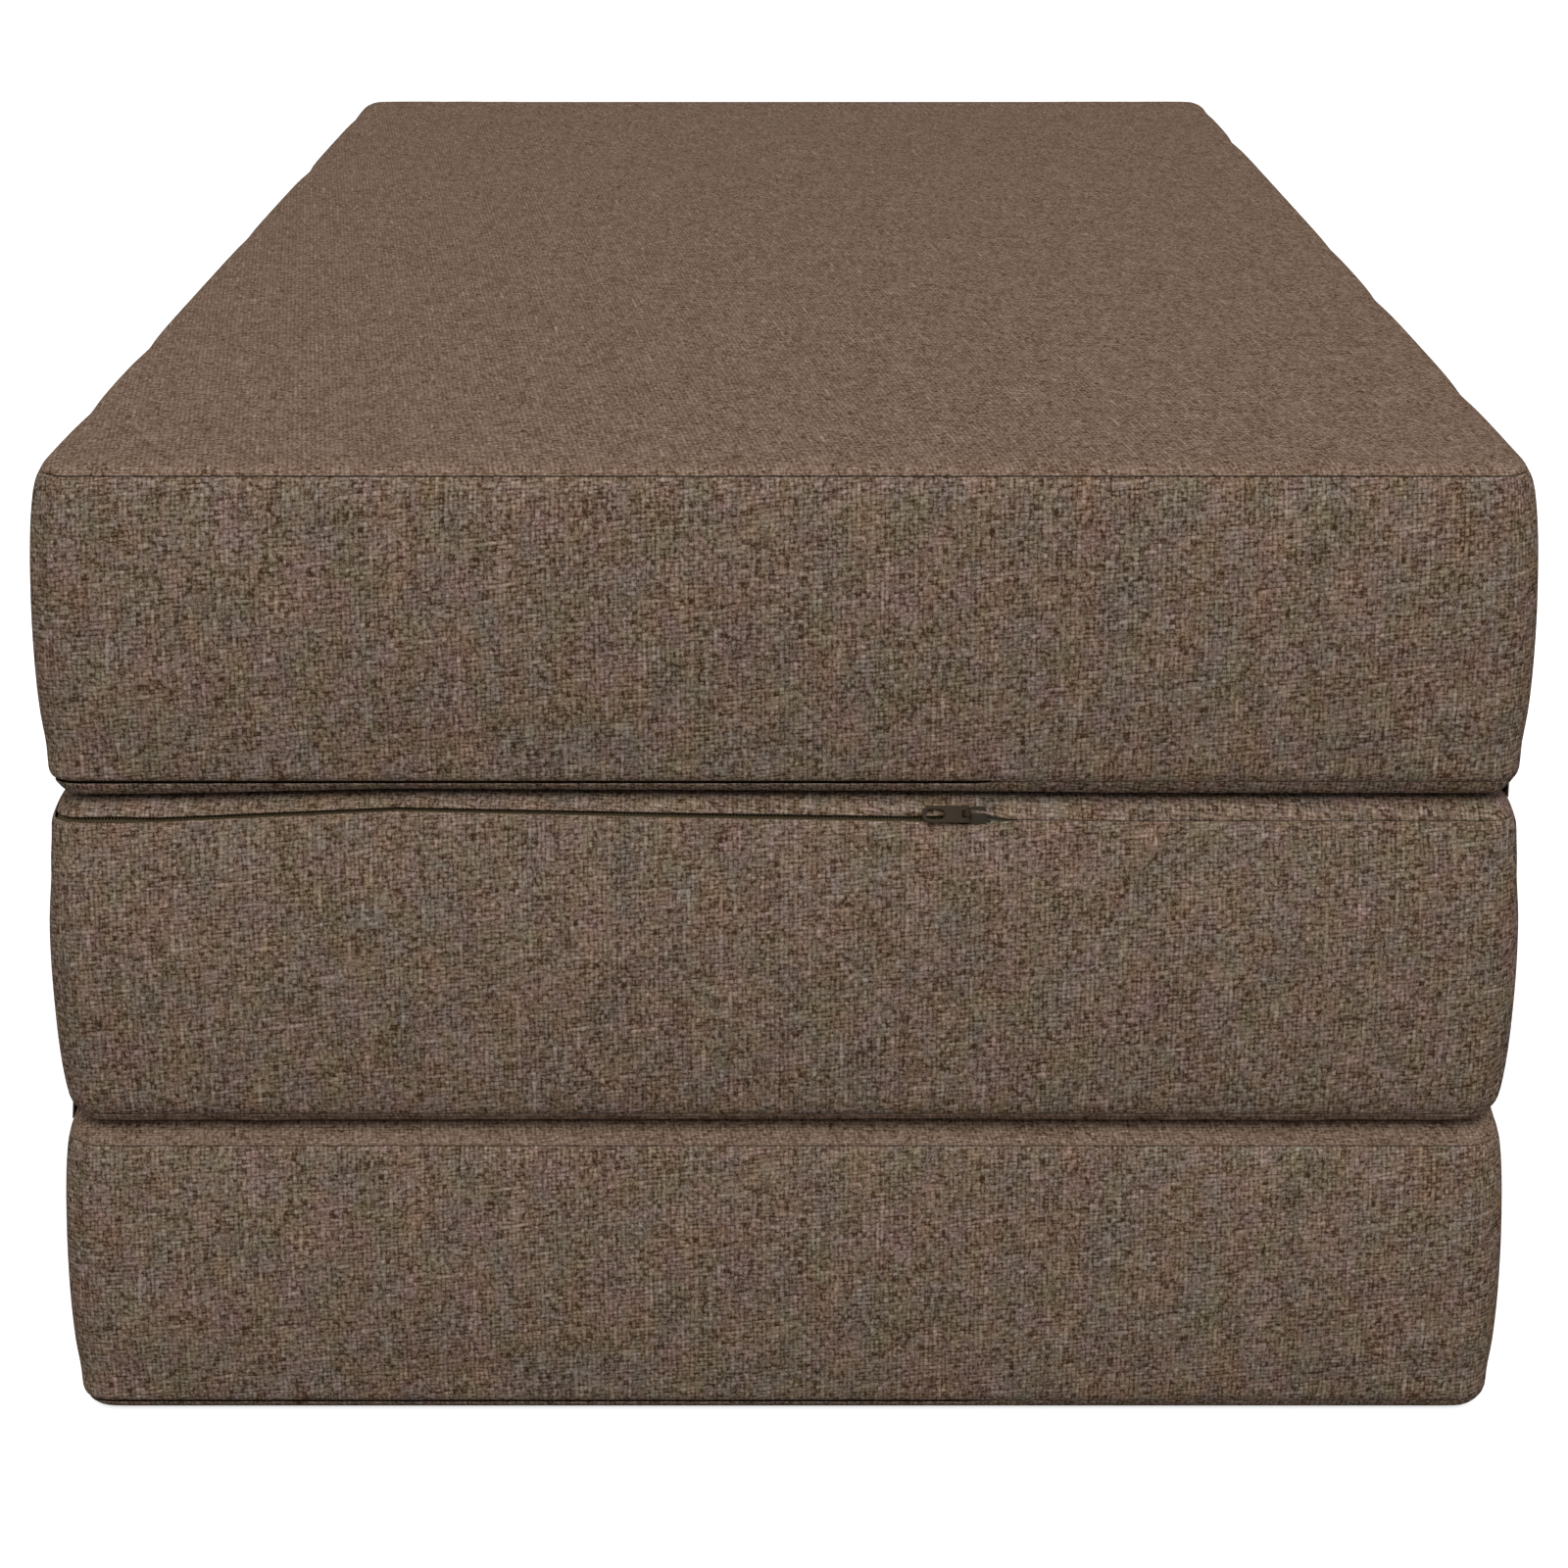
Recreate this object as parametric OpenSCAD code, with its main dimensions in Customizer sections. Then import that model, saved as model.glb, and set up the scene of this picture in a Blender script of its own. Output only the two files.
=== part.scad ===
// A folding sofa bed: three foam blocks in zipped fabric covers, stacked in a Z fold and joined by
// a fabric hinge along the left side below and the right side above. Millimetres, Z up, front
// towards -Y. The origin is on the floor, at the middle of the folded stack.

/* [Foam] */
// Width of one foam block, left to right
foam_w = 650; // [500:10:900]
// Depth of one foam block, front to back
foam_d = 1190; // [700:10:2000]
// Height of one foam block
foam_h = 146; // [110:1:200]

/* [Cover] */
// Thickness of the cover, with its seam allowances
cover_t = 1.6; // [1.2:0.1:2]
// Gap between the foam and the panels above and below it
foam_clear = 0.25; // [0.1:0.05:0.5]
// How far the side walls stand off the foam at their fullest
side_puff = 3.4; // [3:0.1:6]
// Radius of the upright corners at their fullest
corner_r = 20; // [19:0.5:30]
// How far the seams pull in from the fullest part of the sides
seam_pull = 10; // [8:0.5:11.5]
// How far the sleeping panel rises from its seam to its flat top
top_rise = 2.7; // [2.2:0.1:6]
// Radius of the underside panel's turned-up edge
under_edge_r = 8; // [7.5:0.25:9.5]

/* [Zip] */
// How far the zip reaches to the right of the middle, at the front and the back
zip_reach = 91; // [0:1:200]
// Width of the closed chain
chain_w = 5; // [4:0.25:5.5]
// Thickness of the chain
chain_t = 2.4; // [2:0.1:2.6]
// Pitch of the chain's teeth
tooth_pitch = 4; // [3:0.5:6]
// Thickness of the woven tape
tape_t = 0.6; // [0.4:0.05:0.8]
// How far the tape reaches behind the cover on each side
tape_overlap = 6; // [4:0.5:10]

/* [Zip slider] */
// Length of the slider's body
slider_l = 12; // [10:0.5:16]
// Width of the slider's body
slider_w = 8; // [7.5:0.25:8.5]
// Thickness of the slider's two plates
plate_t = 1.1; // [0.8:0.1:1.2]
// Length of the pull tab beyond its bar
pull_l = 20; // [15:1:35]
// Width of the pull tab
pull_w = 7.6; // [6:0.2:9]
// Thickness of the pull tab
pull_t = 1.2; // [0.8:0.1:1.4]
// Radius of the bar that the pull turns on
bar_r = 0.95; // [0.8:0.05:1.1]

/* [Hinges] */
// Gap between stacked blocks
block_gap = 0.3; // [0.2:0.05:1]
// Thickness of the hinge strips
strip_t = 1; // [0.6:0.1:1.4]
// How far the hinge strips stop short of the front and the back
strip_inset = 30; // [20:5:120]

/* [Hidden] */
$fn = 48;

cloth_colour = [0.46, 0.4, 0.33];
zip_colour = [0.2, 0.19, 0.13];
metal_colour = [0.27, 0.24, 0.18];
foam_colour = [0.93, 0.9, 0.8];

// The block, from the underside (z = 0) to the sleeping face, before it is stacked
half_w = foam_w / 2 + cover_t + side_puff;
half_d = foam_d / 2 + cover_t + side_puff;
block_h = foam_h + 2 * (cover_t + foam_clear);
pitch = block_h + block_gap;
centre_x = half_w - corner_r;
centre_y = half_d - corner_r;

// The seams: the zip's on the underside's edge, and the plain one on the sleeping panel's
zip_h = under_edge_r;
seam_h = block_h - top_rise;
seam_r = corner_r - seam_pull;
under_r = seam_r - under_edge_r;
fullness_share = 0.4;
wall_steps = 12;
edge_steps = 6;

// The foam's edges, pressed round by the cover, most behind the zip
press_share = 1.8;
foam_bottom_r = 2 * under_edge_r + press_share * seam_pull;
foam_top_r = 2 * seam_pull;
foam_corner_extra = 4;
foam_corner_r = corner_r + foam_corner_extra;

// The slot that the zip lies in, a little taller on the slope than the slider is wide
slot_share = 0.95;
slot_low = zip_h - slot_share * slider_w / 2;
slot_high = zip_h + slot_share * slider_w / 2;
rim_angle = asin((zip_h - slot_low) / under_edge_r);
slot_foot = under_point(rim_angle, 0);
slot_head = [wall_r(slot_high), slot_high];
zip_tilt = atan2(slot_head.x - slot_foot.x, slot_head.y - slot_foot.y);
tape_sink = 0.7;
zip_centre = (slot_head + slot_foot) / 2 - (cover_t + tape_sink) * [cos(zip_tilt), -sin(zip_tilt)];
seat_gap = 0.25;
edge_gap = 0.1;
tape_edge = chain_w / 2 + edge_gap;
tape_bend = slider_w / 2 + 2 * edge_gap;
tape_rim_angle = 35;
end_gap = 0.3;

// The slider stands at the closed end of the chain, with its nose past the last tooth
stop_l = 1.5;
stop_w = 1.1;
slider_x = zip_reach - slider_l / 2 - 2 * end_gap - stop_l;
closed_share = 0.2;
chain_end = slider_x + closed_share * slider_l - end_gap;
tooth_gap = 0.2;
spine_w = 0.8;
chain_clear = 0.3;
flange_w = 0.6;
tape_clear = 0.45;
diamond_l = 3;
diamond_w = 2.4;
corner_round = 1.2;
plate_face = chain_t / 2 + chain_clear;
plate_back = plate_face + plate_t;

// The pull turns on a bar under the slider's crown, which is a half ring round the bar, and is
// lifted so that the tab lies over the cover's edges
bar_clear = 0.08;
bar_lift = 1.1;
crown_t = 0.85;
crown_w = 2.4;
crown_x = 2.5;
arm_gap = 0.3;
crown_r = bar_r + bar_clear + crown_t;
bar_h = plate_back + bar_lift + bar_r + bar_clear;
window_r = crown_r + arm_gap;
pull_hole_r = 1.4;
pull_hole_l = 4;

// The hinge line stands just outside the fullest part of the sides, at the middle of the gap
hinge_r = corner_r + block_gap;
leaf_gap = 0.4;
leaf_rise = 0.6;

// How far the side wall is pulled in at height z, and its radius about a corner's centre
function wall_inset(z) = seam_pull
    * (1 - pow(max(0, sin(180 * (z - zip_h) / (seam_h - zip_h))), fullness_share));
function wall_r(z) = corner_r - wall_inset(z);
function wall_levels(low) = [
    for (k = [0:wall_steps]) low + (seam_h - low) * (1 - cos(180 * k / wall_steps)) / 2
];

// A point of the underside's turned-up edge, at an angle down from the level, and some way in
function under_point(a, depth) =
    [under_r, zip_h] + (under_edge_r - depth) * [cos(a), -sin(a)];
function under_edge(from, to, depth) = [
    for (k = [0:edge_steps]) under_point(from + (to - from) * k / edge_steps, depth)
];

// A point of the zip's section: across the chain, and out from the middle of the tape
function zip_point(across, out) = zip_centre
    + across * [sin(zip_tilt), cos(zip_tilt)] + out * [cos(zip_tilt), -sin(zip_tilt)];
function flip(points) = [for (k = [len(points) - 1:-1:0]) points[k]];

// A section drawn as (out from the corner's centre, height), carried along one straight side
module along_side(turn, distance, length) {
    rotate([0, 0, turn]) translate([distance, 0, 0])
        rotate([90, 0, 0]) linear_extrude(height = length, center = true) children();
}

// The same section carried round the left part of the block: front and back as far as x_end
module around_left(x_end) {
    run = x_end + centre_x;
    along_side(180, centre_x, 2 * centre_y) children();
    for (end = [0, 1]) mirror([0, end, 0]) {
        translate([(x_end - centre_x) / 2, 0, 0]) along_side(90, centre_y, run) children();
        translate([-centre_x, centre_y, 0]) rotate([0, 0, 90]) rotate_extrude(angle = 90) children();
    }
}

// And round the right part of the block, from x_end
module around_right(x_end) {
    mirror([1, 0, 0]) around_left(-x_end) children();
}

// The side wall's section from a height up to its seam, its lower edge cut back at a slope
module wall_section(low, slope) {
    inner_low = low + cover_t * tan(slope);
    polygon(concat(
        [for (z = wall_levels(low)) [wall_r(z), z]],
        [for (z = flip(wall_levels(inner_low))) [wall_r(z) - cover_t, z]]
    ));
}

module underside_section(from) {
    polygon(concat(
        under_edge(from, 90, 0), [[0, 0], [0, cover_t]], flip(under_edge(from, 90, cover_t))
    ));
}

module top_section() {
    outer = [for (k = [0:edge_steps]) 90 * k / edge_steps];
    polygon(concat(
        [for (a = outer) [seam_r * cos(a), seam_h + top_rise * sin(a)]],
        [for (a = flip(outer))
            [(seam_r - cover_t) * cos(a), seam_h + (top_rise - cover_t) * sin(a)]]
    ));
}

module panel_field(z) {
    translate([-centre_x, -centre_y, z]) cube([2 * centre_x, 2 * centre_y, cover_t]);
}

module rounded_plate(w, h, low_r, high_r) {
    union() {
        translate([-w / 2, low_r]) square([w, h - low_r - high_r]);
        translate([-w / 2 + low_r, 0]) square([w - 2 * low_r, low_r]);
        translate([-w / 2 + high_r, h - high_r]) square([w - 2 * high_r, high_r]);
        for (side = [-1, 1]) {
            translate([side * (w / 2 - low_r), low_r]) circle(low_r);
            translate([side * (w / 2 - high_r), h - high_r]) circle(high_r);
        }
    }
}

// One foam block, rounded along its edges where the cover presses it
module foam_core() {
    color(foam_colour) translate([0, 0, cover_t + foam_clear]) intersection() {
        translate([0, -foam_d / 2, 0]) linear_extrude(height = foam_h)
            rounded_plate(foam_w, foam_d, foam_corner_r, foam_corner_r);
        rotate([90, 0, 0]) linear_extrude(height = foam_d, center = true)
            rounded_plate(foam_w, foam_h, foam_bottom_r, foam_top_r);
        rotate([90, 0, 90]) linear_extrude(height = foam_w, center = true)
            rounded_plate(foam_d, foam_h, foam_bottom_r, foam_top_r);
    }
}

module sleeping_panel() {
    color(cloth_colour) union() {
        panel_field(block_h - cover_t);
        around_left(0) top_section();
        around_right(0) top_section();
    }
}

// The side wall, cut back above the zip on the left, and down to its seam on the right
module boxing() {
    color(cloth_colour) union() {
        around_left(zip_reach) wall_section(slot_high, zip_tilt);
        around_right(zip_reach) wall_section(zip_h, 0);
    }
}

module underside_panel() {
    color(cloth_colour) union() {
        panel_field(0);
        around_left(zip_reach) underside_section(rim_angle);
        around_right(zip_reach) underside_section(0);
    }
}

module zip_tape() {
    head = slot_high + tape_overlap;
    wall_run = [slot_high + tape_t, head];
    rim_run = under_edge(tape_rim_angle, 90 - tape_rim_angle / 2, cover_t + seat_gap);
    rim_back = under_edge(tape_rim_angle, 90 - tape_rim_angle / 2, cover_t + seat_gap + tape_t);
    function behind_wall(z, depth) = [wall_r(z) - cover_t - seat_gap - depth, z];
    color(zip_colour) around_left(zip_reach - end_gap) {
        polygon([
            zip_point(tape_edge, tape_t / 2), zip_point(tape_bend, tape_t / 2),
            for (z = wall_run) behind_wall(z, 0),
            for (z = flip(wall_run)) behind_wall(z, tape_t),
            zip_point(tape_bend, -tape_t / 2), zip_point(tape_edge, -tape_t / 2)
        ]);
    }
    color(zip_colour) around_left(zip_reach - end_gap) {
        polygon(concat(
            [zip_point(-tape_edge, tape_t / 2), zip_point(-tape_bend, tape_t / 2)], rim_run,
            flip(rim_back), [zip_point(-tape_bend, -tape_t / 2), zip_point(-tape_edge, -tape_t / 2)]
        ));
    }
}

// Places a child on the back run of the zip: x towards the left corner, y across the chain and
// z out from the cover
module on_zip(x) {
    translate([x, centre_y + zip_centre.x, zip_centre.y]) rotate([90 + zip_tilt, 0, 180]) children();
}

// One side of the chain: a spine with teeth that reach across between the other side's teeth
module chain_side(count, shift) {
    root = chain_w / 2 - spine_w;
    translate([shift, 0, -chain_t / 2]) linear_extrude(height = chain_t) polygon([
        [0, chain_w / 2], [0, root],
        for (k = [0:count - 1]) each [
            [k * tooth_pitch + tooth_gap, root],
            [k * tooth_pitch + 2 * tooth_gap, tooth_gap - root],
            [(k + 0.5) * tooth_pitch - 2 * tooth_gap, tooth_gap - root],
            [(k + 0.5) * tooth_pitch - tooth_gap, root]
        ],
        [count * tooth_pitch, root], [count * tooth_pitch, chain_w / 2]
    ]);
}

// The closed chain: toothed along the slider's run, and a plain bead round the rest of the path
module zip_chain() {
    count = floor((chain_end + centre_x) / tooth_pitch) - 1;
    bead = [
        for (side = [[1, 1], [1, -1], [-1, -1], [-1, 1]])
            zip_point(side.x * chain_w / 2, side.y * chain_t / 2)
    ];
    bead_start = chain_end - (count + 1) * tooth_pitch;
    color(zip_colour) on_zip(chain_end) {
        chain_side(count, 0);
        mirror([0, 1, 0]) chain_side(count, tooth_pitch / 2);
    }
    color(zip_colour) union() {
        along_side(180, centre_x, 2 * centre_y) polygon(bead);
        for (end = [0, 1]) mirror([0, end, 0])
            translate([-centre_x, centre_y, 0]) rotate([0, 0, 90]) rotate_extrude(angle = 90)
                polygon(bead);
        translate([(chain_end - centre_x) / 2, 0, 0])
            along_side(-90, centre_y, chain_end + centre_x) polygon(bead);
        if (bead_start > -centre_x)
            translate([(bead_start - centre_x) / 2, 0, 0])
                along_side(90, centre_y, bead_start + centre_x) polygon(bead);
    }
}

// Two stops ahead of the slider, and one across the other end of the chain
module zip_stops() {
    color(zip_colour) on_zip(slider_x + slider_l / 2 + end_gap + stop_l)
        for (side = [0, 1]) mirror([0, side, 0])
            translate([0, chain_w / 2 - stop_w, -chain_t / 2]) cube([stop_l, stop_w, chain_t]);
    color(zip_colour) mirror([0, 1, 0]) on_zip(chain_end + end_gap + stop_l)
        translate([0, -chain_w / 2, -chain_t / 2]) cube([stop_l, chain_w, chain_t]);
}

module slider_plate() {
    body_l = slider_l - 2 * corner_round;
    body_w = slider_w - 2 * corner_round;
    linear_extrude(height = plate_t) union() {
        square([body_l, slider_w], center = true);
        square([slider_l, body_w], center = true);
        for (x = [-1, 1], y = [-1, 1])
            translate([x * body_l / 2, y * body_w / 2]) circle(corner_round);
    }
}

// The slider: two plates with turned edges that clear the tape, joined by the diamond that parts
// the teeth, and a crown for the pull
module zip_slider() {
    flange_l = slider_l - 2 * corner_round;
    flange_h = plate_face - tape_t / 2 - tape_clear;
    color(metal_colour) on_zip(slider_x) union() {
        for (side = [0, 1]) mirror([0, 0, side]) {
            translate([0, 0, plate_face]) slider_plate();
            for (edge = [0, 1]) mirror([0, edge, 0])
                translate([-flange_l / 2, slider_w / 2 - flange_w, plate_face - flange_h])
                    cube([flange_l, flange_w, flange_h]);
        }
        translate([-slider_l / 2 + end_gap, -diamond_w / 2, -plate_face])
            cube([diamond_l, diamond_w, 2 * plate_face]);
        difference() {
            union() {
                translate([crown_x, 0, bar_h]) rotate([90, 0, 0])
                    cylinder(r = crown_r, h = crown_w, center = true);
                translate([crown_x - crown_r, -crown_w / 2, plate_back])
                    cube([2 * crown_r, crown_w, bar_h - plate_back]);
            }
            translate([crown_x, 0, bar_h]) rotate([90, 0, 0])
                cylinder(r = bar_r + bar_clear, h = crown_w + 2 * arm_gap, center = true);
        }
    }
}

// The pull: a bar in the crown, two arms beside it, and a flat tab with a round end and a slot
module zip_pull() {
    arm_w = (pull_w - crown_w) / 2 - arm_gap;
    tab_start = window_r;
    tab_l = pull_l - pull_w / 2 - tab_start;
    color(metal_colour) on_zip(slider_x) translate([crown_x, 0, bar_h]) union() {
        rotate([90, 0, 0]) cylinder(r = bar_r, h = pull_w, center = true);
        for (side = [0, 1]) mirror([0, side, 0])
            translate([0, crown_w / 2 + arm_gap, -pull_t / 2])
                cube([tab_start + arm_gap, arm_w, pull_t]);
        translate([0, 0, -pull_t / 2]) linear_extrude(height = pull_t) difference() {
            union() {
                translate([tab_start, -pull_w / 2]) square([tab_l, pull_w]);
                translate([tab_start + tab_l, 0]) circle(pull_w / 2);
            }
            translate([tab_start + tab_l, 0]) circle(pull_hole_r);
            translate([tab_start + tab_l - pull_hole_l, 0]) circle(pull_hole_r);
            translate([tab_start + tab_l - pull_hole_l, -pull_hole_r])
                square([pull_hole_l, 2 * pull_hole_r]);
        }
    }
}

// A hinge strip from the underside's seam out to the hinge line, on the right
module under_leaf() {
    out = hinge_r - leaf_gap;
    color(cloth_colour) along_side(0, centre_x, 2 * (half_d - strip_inset)) polygon([
        [seam_r + leaf_gap, zip_h], [seam_r + leaf_gap, zip_h - strip_t - leaf_gap],
        [out, 0], [out, strip_t]
    ]);
}

// And one from the sleeping panel's seam, on the left
module top_leaf() {
    out = hinge_r - leaf_gap;
    foot = seam_h + leaf_rise;
    color(cloth_colour) along_side(180, centre_x, 2 * (half_d - strip_inset)) polygon([
        [seam_r + leaf_gap, foot], [out, block_h - strip_t], [out, block_h],
        [seam_r + leaf_gap, foot + strip_t]
    ]);
}

// The middle block lies upside down and back to front, so that its sleeping face is on the lower
// block's and its zip still runs along the left side
module as_middle() {
    translate([0, 0, pitch + block_h]) rotate([180, 0, 0]) children();
}

module as_upper() {
    translate([0, 0, 2 * pitch]) children();
}

foam_core();  // lower_foam_core
sleeping_panel();  // lower_sleeping_panel
boxing();  // lower_boxing
underside_panel();  // lower_underside_panel
zip_tape();  // lower_zip_tape
zip_chain();  // lower_zip_chain
zip_stops();  // lower_zip_stops
zip_slider();  // lower_zip_slider
zip_pull();  // lower_zip_pull
top_leaf();  // left_hinge_lower_leaf

as_middle() foam_core();  // middle_foam_core
as_middle() sleeping_panel();  // middle_sleeping_panel
as_middle() boxing();  // middle_boxing
as_middle() underside_panel();  // middle_underside_panel
as_middle() zip_tape();  // middle_zip_tape
as_middle() zip_chain();  // middle_zip_chain
as_middle() zip_stops();  // middle_zip_stops
as_middle() zip_slider();  // middle_zip_slider
as_middle() zip_pull();  // middle_zip_pull
as_middle() top_leaf();  // left_hinge_middle_leaf
as_middle() under_leaf();  // right_hinge_middle_leaf

as_upper() foam_core();  // upper_foam_core
as_upper() sleeping_panel();  // upper_sleeping_panel
as_upper() boxing();  // upper_boxing
as_upper() underside_panel();  // upper_underside_panel
as_upper() zip_tape();  // upper_zip_tape
as_upper() zip_chain();  // upper_zip_chain
as_upper() zip_stops();  // upper_zip_stops
as_upper() zip_slider();  // upper_zip_slider
as_upper() zip_pull();  // upper_zip_pull
as_upper() under_leaf();  // right_hinge_upper_leaf
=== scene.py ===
"""A folding sofa bed: zipped fabric covers over three foam blocks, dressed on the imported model.

Metres, Z up, front towards -Y. A block is made as it stands on the floor, with its underside at
z = 0, and is then stood in its place in the stack."""
import math

import bmesh
import bpy
import numpy as np
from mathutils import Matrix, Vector, noise


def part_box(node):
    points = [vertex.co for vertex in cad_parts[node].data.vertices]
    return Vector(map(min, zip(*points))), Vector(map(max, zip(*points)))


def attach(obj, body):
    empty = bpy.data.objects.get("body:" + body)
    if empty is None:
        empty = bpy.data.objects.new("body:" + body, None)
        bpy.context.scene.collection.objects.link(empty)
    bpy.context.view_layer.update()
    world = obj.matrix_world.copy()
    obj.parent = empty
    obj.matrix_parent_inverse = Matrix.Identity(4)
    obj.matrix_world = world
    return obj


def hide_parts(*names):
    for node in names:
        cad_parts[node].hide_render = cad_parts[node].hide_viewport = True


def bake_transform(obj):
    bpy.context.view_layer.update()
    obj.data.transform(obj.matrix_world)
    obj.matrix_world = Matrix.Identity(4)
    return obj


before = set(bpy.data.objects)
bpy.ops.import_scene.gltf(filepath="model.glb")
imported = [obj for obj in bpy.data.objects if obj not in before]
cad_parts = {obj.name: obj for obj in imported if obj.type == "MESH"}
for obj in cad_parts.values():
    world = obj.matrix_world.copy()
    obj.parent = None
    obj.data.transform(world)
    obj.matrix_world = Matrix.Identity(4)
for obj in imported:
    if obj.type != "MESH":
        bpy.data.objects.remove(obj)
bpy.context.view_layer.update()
bpy.ops.object.select_all(action="DESELECT")

MM = 0.001
HALF_W, HALF_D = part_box("lower_boxing")[1].xy
BLOCK_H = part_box("lower_sleeping_panel")[1].z
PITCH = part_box("upper_underside_panel")[0].z / 2
HINGE_GAP = PITCH - BLOCK_H
STRIP_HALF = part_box("left_hinge_lower_leaf")[1].y
STRIP_TAPER = 60 * MM

# The cover's section, as (out from the corner's centre, height)
CORNER_R = 20 * MM
CENTRE_X, CENTRE_Y = HALF_W - CORNER_R, HALF_D - CORNER_R
SLACK = 2 * MM
ZIP_H, SEAM_R = 8 * MM, 10 * MM
FULLNESS = 0.4
CLOTH = 0.45 * MM

# The zip's section: its chain is tilted, and runs behind two folded lips of the cover
ZIP_TILT = math.radians(31.757)
ZIP_R, ZIP_Z = 9.436 * MM, 9.2105 * MM
SLIDER_X = 82.9 * MM
CHAIN_END = 85 * MM
LIP_OUT, LIP_BACK, LIP_FOLD = 3.8 * MM, 2.74 * MM, 3.3 * MM
LIP_HALF, LIP_HALF_AT_SLIDER, LIP_HALF_AT_STOP = 0.9 * MM, 2.3 * MM, 1.4 * MM
SEWN_HALF = 0.06 * MM
LIPS_CLOSE, LIPS_CLOSED = 88 * MM, 96 * MM
LIP_EASE, ZIP_TRAVEL = 9 * MM, 380 * MM

# The underside's rim, row by row: (share of the rim, out from the corner's centre, height)
UNDER_ROWS = ((0, 0, 0), (1 / 3, 6 * MM, 0.8 * MM), (2 / 3, 9.3 * MM, 3.4 * MM))
FLAP = (4.6 * MM, 3.45 * MM)
LIP = (0, 3.2 * MM)

# The cloth: how far a pinch reaches, how far the foam may swell it, and what a turned edge takes
PINCH_REACH, PINCH_DROP, CORNER_PINCH = 22 * MM, 28 * MM, 2.4 * MM
SWELL_FRAMES, MOST_SWELL, MOST_RISE = 20, 3 * MM, 12 * MM
SWELL_SIDES, SWELL_ENDS = 0.42, 0.36
SEAM_DRAWN, HEM, ALLOWANCES = 6 * MM, 4 * MM, 8 * MM
FOLD_STEP = 1.2 * MM
GIRTH_R = CORNER_R - SLACK
SHARP = math.radians(50)


def zip_point(across, out):
    """A point of the zip's section: across the chain, and out from the middle of its tape."""
    s, c = math.sin(ZIP_TILT), math.cos(ZIP_TILT)
    return ZIP_R + across * s + out * c, ZIP_Z + across * c - out * s


BLOCKS = {
    "lower": dict(
        turned=False, lift=0.0, seam_h=137.6 * MM, seam_r=15 * MM, rim=1, seed=3,
        right=(0.47, 0.2, -0.1, -0.36), left=(0.42, 0.1, -0.21, -0.49), depth=1.6 * MM,
    ),
    "middle": dict(
        turned=True, lift=PITCH + BLOCK_H, seam_h=146.6 * MM, seam_r=12.5 * MM, rim=1.9, seed=11,
        right=(0.5, 0.27, -0.02, -0.31), left=(0.45, 0.17, -0.16, -0.4), depth=1.8 * MM,
    ),
    "upper": dict(
        turned=False, lift=2 * PITCH, seam_h=145.3 * MM, seam_r=12.6 * MM, rim=1, seed=23,
        right=(0.535, 0.381, -0.048, -0.205, -0.438),
        left=(0.499, 0.246, -0.013, -0.332, -0.477), depth=3 * MM,
    ),
}


# Working with meshes


def alone(piece):
    """Makes a piece the only selected and the active one."""
    bpy.ops.object.select_all(action="DESELECT")
    piece.select_set(True)
    bpy.context.view_layer.objects.active = piece
    return piece


def named(name):
    """Names the piece that an operator has just made."""
    piece = bpy.context.object
    piece.name = piece.data.name = name
    return alone(piece)


def editing(piece):
    alone(piece)
    bpy.ops.object.mode_set(mode="EDIT")


def done():
    bpy.ops.object.mode_set(mode="OBJECT")


def choose(piece, kind, wanted):
    """Selects the faces, edges or verts that are wanted, in edit mode."""
    bpy.ops.mesh.select_mode(type={"verts": "VERT", "edges": "EDGE", "faces": "FACE"}[kind])
    bpy.ops.mesh.select_all(action="DESELECT")
    mesh = bmesh.from_edit_mesh(piece.data)
    for part in getattr(mesh, kind):
        if wanted(part):
            part.select_set(True)
    bmesh.update_edit_mesh(piece.data)


def points(piece):
    found = np.empty(len(piece.data.vertices) * 3)
    piece.data.vertices.foreach_get("co", found)
    return found.reshape(-1, 3)


def set_points(piece, places):
    piece.data.vertices.foreach_set("co", np.asarray(places, float).ravel())
    piece.data.update()


def note(piece, name, values=None):
    """Reads a whole number kept for each vertex, or writes it."""
    kept = piece.data.attributes.get(name)
    if values is not None:
        kept = kept or piece.data.attributes.new(name, "INT", "POINT")
        kept.data.foreach_set("value", np.asarray(values, np.int32))
        return values
    found = np.zeros(len(piece.data.vertices), np.int32)
    kept.data.foreach_get("value", found)
    return found


def finish_with(piece, kind, **settings):
    """Adds a modifier to a piece and applies it."""
    alone(piece)
    added = piece.modifiers.new(kind.title(), kind)
    for name, value in settings.items():
        setattr(added, name, value)
    bpy.ops.object.modifier_apply(modifier=added.name)


def flip(piece):
    """Turns a piece's faces inside out."""
    editing(piece)
    bpy.ops.mesh.select_all(action="SELECT")
    bpy.ops.mesh.flip_normals()
    done()


def face_outwards(piece):
    editing(piece)
    bpy.ops.mesh.select_all(action="SELECT")
    bpy.ops.mesh.normals_make_consistent(inside=False)
    done()


def corners_of(piece):
    """The vertex at each corner of each face."""
    corners = np.empty(len(piece.data.loops), np.int32)
    piece.data.loops.foreach_get("vertex_index", corners)
    return corners


def write_weave(piece, flat):
    """Keeps where each vertex lies on the flat cloth."""
    flat_map = piece.data.uv_layers[0]
    flat_map.name = "Weave"
    flat_map.data.foreach_set("uv", flat[corners_of(piece)].ravel())


def lengths_along(line):
    """How far along a line of points each point is."""
    return np.concatenate([[0], np.cumsum(np.hypot(*np.diff(np.array(line), axis=0).T))])


def smooth(piece, angle=None):
    alone(piece)
    if angle is None:
        bpy.ops.object.shade_smooth()
    else:
        bpy.ops.object.shade_smooth_by_angle(angle=math.radians(angle))


# The cover's cage: a box cut into columns and rows, with the outer ROWS of them on its rounded rim

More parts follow.
